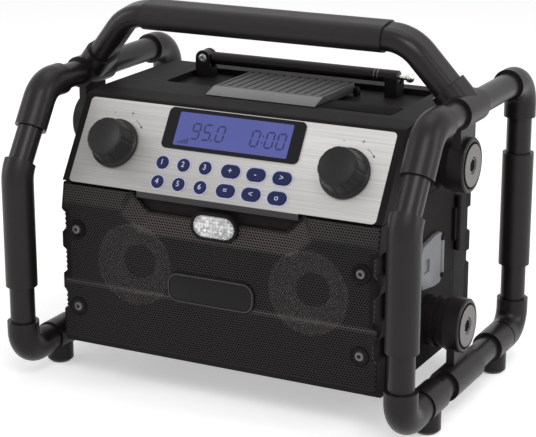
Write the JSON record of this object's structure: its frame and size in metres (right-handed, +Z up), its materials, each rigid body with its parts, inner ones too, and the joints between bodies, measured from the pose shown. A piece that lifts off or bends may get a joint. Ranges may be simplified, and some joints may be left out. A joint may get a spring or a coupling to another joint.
{
  "type": "jobsite radio",
  "caption": "Rugged portable radio in a tubular roll cage, with carry handle, sloping silver control panel, speaker grille, folding antenna, hinged lid and battery door.",
  "frame": {"origin": "on the floor, under the middle of the cage's width and depth", "axes": "+Z up, front face towards -Y, +X to the right seen from the front"},
  "size_m": [0.402, 0.2944, 0.3391],
  "materials": {
    "tube": "satin black coated tube",
    "fitting": "satin black moulded plastic",
    "sleeve": "satin black protective sleeve",
    "grip": "soft black grip",
    "damper": "black rubber",
    "bolt": "pale satin metal",
    "housing": "fine grained black plastic",
    "panel": "brushed silver",
    "window": "gloss black frame",
    "lcd": "blue backlit display",
    "grille": "black perforated metal",
    "lens": "clear faceted lamp lens",
    "speaker_metal": "dark pressed steel",
    "cone": "dark cone",
    "board": "green circuit board",
    "encoder": "plated",
    "battery": "black battery case",
    "grey_plastic": "medium grey plastic",
    "antenna": "satin black",
    "antenna_metal": "bright metal",
    "button": "dark navy",
    "knob": "charcoal satin",
    "shaft": "steel"
  },
  "bodies": {
    "radio": {"front_post_left": "tube", "front_post_right": "tube", "rear_post_left": "tube", "rear_post_right": "tube", "top_rail_left": "tube", "top_rail_right": "tube", "bottom_rail_left": "tube", "bottom_rail_right": "tube", "upper_front_elbow_left": "fitting", "upper_front_elbow_right": "fitting", "upper_rear_elbow_left": "fitting", "upper_rear_elbow_right": "fitting", "lower_front_elbow_left": "fitting", "lower_front_elbow_right": "fitting", "lower_rear_elbow_left": "fitting", "lower_rear_elbow_right": "fitting", "upper_bracket_left": "fitting", "upper_bracket_right": "fitting", "lower_bracket_left": "fitting", "lower_bracket_right": "fitting", "post_sleeves": "sleeve", "handle_tube": "tube", "handle_grip": "grip", "dampers_left": "damper", "dampers_right": "damper", "mount_bolts": "bolt", "front_housing": "housing", "rear_housing": "housing", "control_panel": "panel", "display_window": "window", "lcd_module": "lcd", "grille": "grille", "lamp_lens": "lens", "speaker_frames": "speaker_metal", "speaker_cones": "cone", "circuit_board": "board", "encoders": "encoder", "battery_pack": "battery", "antenna_base": "antenna"},
    "tuning_shaft": {"tuning_shaft": "shaft"},
    "volume_shaft": {"volume_shaft": "shaft"},
    "tuning_knob": {"tuning_knob": "knob"},
    "volume_knob": {"volume_knob": "knob"},
    "antenna": {"antenna_rod": "antenna"},
    "antenna_tip": {"antenna_tip": "antenna_metal"},
    "lid": {"top_lid": "grey_plastic"},
    "door": {"side_door": "housing"},
    "latch": {"side_latch": "grey_plastic"},
    "button_01": {"button_01": "button"},
    "button_02": {"button_02": "button"},
    "button_03": {"button_03": "button"},
    "button_04": {"button_04": "button"},
    "button_05": {"button_05": "button"},
    "button_06": {"button_06": "button"},
    "button_07": {"button_07": "button"},
    "button_08": {"button_08": "button"},
    "button_09": {"button_09": "button"},
    "button_10": {"button_10": "button"},
    "button_11": {"button_11": "button"},
    "button_12": {"button_12": "button"}
  },
  "joints": [
    {"name": "button_01_press", "type": "slide", "parent": "radio", "child": "button_01", "axis": [0, 0.8443, -0.5358], "range_m": [0, 0.0009], "stiffness_N_per_m": 1500, "springref_m": -0.0006},
    {"name": "button_02_press", "type": "slide", "parent": "radio", "child": "button_02", "axis": [0, 0.8443, -0.5358], "range_m": [0, 0.0009], "stiffness_N_per_m": 1500, "springref_m": -0.0006},
    {"name": "button_03_press", "type": "slide", "parent": "radio", "child": "button_03", "axis": [0, 0.8443, -0.5358], "range_m": [0, 0.0009], "stiffness_N_per_m": 1500, "springref_m": -0.0006},
    {"name": "button_04_press", "type": "slide", "parent": "radio", "child": "button_04", "axis": [0, 0.8443, -0.5358], "range_m": [0, 0.0009], "stiffness_N_per_m": 1500, "springref_m": -0.0006},
    {"name": "button_05_press", "type": "slide", "parent": "radio", "child": "button_05", "axis": [0, 0.8443, -0.5358], "range_m": [0, 0.0009], "stiffness_N_per_m": 1500, "springref_m": -0.0006},
    {"name": "button_06_press", "type": "slide", "parent": "radio", "child": "button_06", "axis": [0, 0.8443, -0.5358], "range_m": [0, 0.0009], "stiffness_N_per_m": 1500, "springref_m": -0.0006},
    {"name": "button_07_press", "type": "slide", "parent": "radio", "child": "button_07", "axis": [0, 0.8443, -0.5358], "range_m": [0, 0.0009], "stiffness_N_per_m": 1500, "springref_m": -0.0006},
    {"name": "button_08_press", "type": "slide", "parent": "radio", "child": "button_08", "axis": [0, 0.8443, -0.5358], "range_m": [0, 0.0009], "stiffness_N_per_m": 1500, "springref_m": -0.0006},
    {"name": "button_09_press", "type": "slide", "parent": "radio", "child": "button_09", "axis": [0, 0.8443, -0.5358], "range_m": [0, 0.0009], "stiffness_N_per_m": 1500, "springref_m": -0.0006},
    {"name": "button_10_press", "type": "slide", "parent": "radio", "child": "button_10", "axis": [0, 0.8443, -0.5358], "range_m": [0, 0.0009], "stiffness_N_per_m": 1500, "springref_m": -0.0006},
    {"name": "button_11_press", "type": "slide", "parent": "radio", "child": "button_11", "axis": [0, 0.8443, -0.5358], "range_m": [0, 0.0009], "stiffness_N_per_m": 1500, "springref_m": -0.0006},
    {"name": "button_12_press", "type": "slide", "parent": "radio", "child": "button_12", "axis": [0, 0.8443, -0.5358], "range_m": [0, 0.0009], "stiffness_N_per_m": 1500, "springref_m": -0.0006},
    {"name": "tuning_turn", "type": "hinge", "parent": "radio", "child": "tuning_shaft", "pos_m": [-0.1125, -0.08573, 0.22104], "axis": [0, -0.8443, 0.5358], "continuous": true},
    {"name": "tuning_push", "type": "slide", "parent": "tuning_shaft", "child": "tuning_knob", "axis": [0, 0.8443, -0.5358], "range_m": [0, 0.0008], "stiffness_N_per_m": 3000, "springref_m": -0.0008},
    {"name": "volume_turn", "type": "hinge", "parent": "radio", "child": "volume_shaft", "pos_m": [0.1125, -0.08573, 0.22104], "axis": [0, -0.8443, 0.5358], "continuous": true},
    {"name": "volume_push", "type": "slide", "parent": "volume_shaft", "child": "volume_knob", "axis": [0, 0.8443, -0.5358], "range_m": [0, 0.0008], "stiffness_N_per_m": 3000, "springref_m": -0.0008},
    {"name": "antenna_fold", "type": "hinge", "parent": "radio", "child": "antenna", "pos_m": [-0.104, 0.06525, 0.273], "axis": [0, -1, 0], "range_deg": [0, 90]},
    {"name": "antenna_pull", "type": "slide", "parent": "antenna", "child": "antenna_tip", "axis": [1, 0, 0], "range_m": [0, 0.06]},
    {"name": "lid_lift", "type": "hinge", "parent": "radio", "child": "lid", "pos_m": [0.003, 0.05175, 0.26], "axis": [-1, 0, 0], "range_deg": [0, 32]},
    {"name": "door_swing", "type": "hinge", "parent": "radio", "child": "door", "pos_m": [0.159, 0.05645, 0.1475], "axis": [0, 0, 1], "range_deg": [0, 105]},
    {"name": "latch_release", "type": "hinge", "parent": "door", "child": "latch", "pos_m": [0.1596, 0.01575, 0.128], "axis": [0, 0, 1], "range_deg": [0, 45]}
  ]
}
